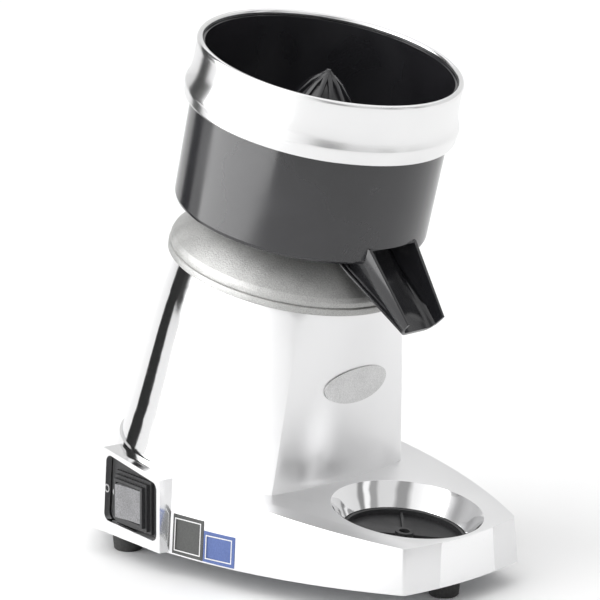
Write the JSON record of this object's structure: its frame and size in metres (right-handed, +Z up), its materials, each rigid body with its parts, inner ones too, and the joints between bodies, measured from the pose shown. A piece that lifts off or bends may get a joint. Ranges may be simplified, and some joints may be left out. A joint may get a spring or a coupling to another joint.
{
  "type": "citrus press juicer",
  "caption": "Electric citrus press: cast aluminium body with forward-leaning motor tower, black bowl with open spout, polished splash ring, ribbed reamer.",
  "frame": {"origin": "on the table, under the middle of the object's whole box", "axes": "+Z up, -Y towards the spout and the glass recess, -X towards the switch"},
  "size_m": [0.1914, 0.2988, 0.3522],
  "materials": {
    "polished_aluminium": "mirror polished",
    "cast_aluminium": "bead blasted",
    "spun_steel": "satin, polished",
    "black_bowl": "glossy",
    "black_plastic": "fine texture",
    "grey_button": "grained",
    "rubber": "matt",
    "steel": "plain",
    "zinc_plate": "zinc plated",
    "copper": "enamelled wire",
    "lamination": "varnished",
    "badge_metal": "brushed",
    "grey_label": "printed foil",
    "blue_label": "printed foil",
    "can": "drawn",
    "white_plastic": "moulded",
    "wire": "insulated"
  },
  "bodies": {
    "housing": {"body_casting": "polished_aluminium", "bottom_plate": "zinc_plate", "plate_screws": "steel", "foot_screws": "steel", "foot_nuts": "steel", "rear_left_foot": "rubber", "rear_right_foot": "rubber", "front_foot": "rubber", "top_cap": "cast_aluminium", "cap_screws": "steel", "stator": "lamination", "stator_windings": "copper", "lower_bracket": "cast_aluminium", "motor_bolts": "steel", "motor_spacers": "steel", "upper_bearing_outer_race": "steel", "lower_bearing_outer_race": "steel", "shaft_seal": "rubber", "switch_panel": "black_plastic", "switch_housing": "black_plastic", "rocker_pin": "steel", "switch_terminals": "steel", "capacitor": "can", "capacitor_clip": "zinc_plate", "terminal_block": "white_plastic", "terminal_screws": "steel", "cable_gland": "black_plastic", "gland_nut": "black_plastic", "lead_wires": "wire", "badge": "badge_metal", "rating_label": "grey_label", "approval_label": "blue_label"},
    "rotor": {"motor_shaft": "steel", "rotor_core": "lamination", "cooling_fan": "white_plastic", "upper_bearing_inner_race": "steel", "upper_bearing_balls": "steel", "lower_bearing_inner_race": "steel", "lower_bearing_balls": "steel", "drive_pin": "steel"},
    "hub": {"hub": "black_plastic"},
    "reamer": {"reamer_cone": "black_bowl"},
    "bowl": {"bowl": "black_bowl", "bowl_gasket": "rubber"},
    "strainer": {"strainer": "spun_steel"},
    "splash_ring": {"splash_ring": "spun_steel"},
    "rocker": {"switch_rocker": "grey_button"},
    "insert": {"recess_insert": "black_plastic"}
  },
  "joints": [
    {"name": "shaft_spin", "type": "hinge", "parent": "housing", "child": "rotor", "pos_m": [0.00375, 0.00574, 0.20188], "axis": [0, -0.2419, 0.9703], "continuous": true},
    {"name": "bowl_lift", "type": "slide", "parent": "housing", "child": "bowl", "axis": [0, -0.2419, 0.9703], "range_m": [0, 0.12]},
    {"name": "hub_lift", "type": "slide", "parent": "rotor", "child": "hub", "axis": [0, -0.2419, 0.9703], "range_m": [0, 0.12]},
    {"name": "cone_lift", "type": "slide", "parent": "hub", "child": "reamer", "axis": [0, -0.2419, 0.9703], "range_m": [0, 0.09]},
    {"name": "strainer_lift", "type": "slide", "parent": "bowl", "child": "strainer", "axis": [0, -0.2419, 0.9703], "range_m": [0, 0.1]},
    {"name": "ring_lift", "type": "slide", "parent": "bowl", "child": "splash_ring", "axis": [0, -0.2419, 0.9703], "range_m": [0, 0.12]},
    {"name": "rocker_tilt", "type": "hinge", "parent": "housing", "child": "rocker", "pos_m": [-0.08318, 0.05799, 0.041], "axis": [0, 0, -1], "range_deg": [0, 14]},
    {"name": "insert_lift", "type": "slide", "parent": "housing", "child": "insert", "axis": [0, -0.1392, 0.9903], "range_m": [0, 0.06]}
  ],
  "couplings": [
    {"joint": "hub_lift", "follows": "bowl_lift", "ratio": 1}
  ]
}
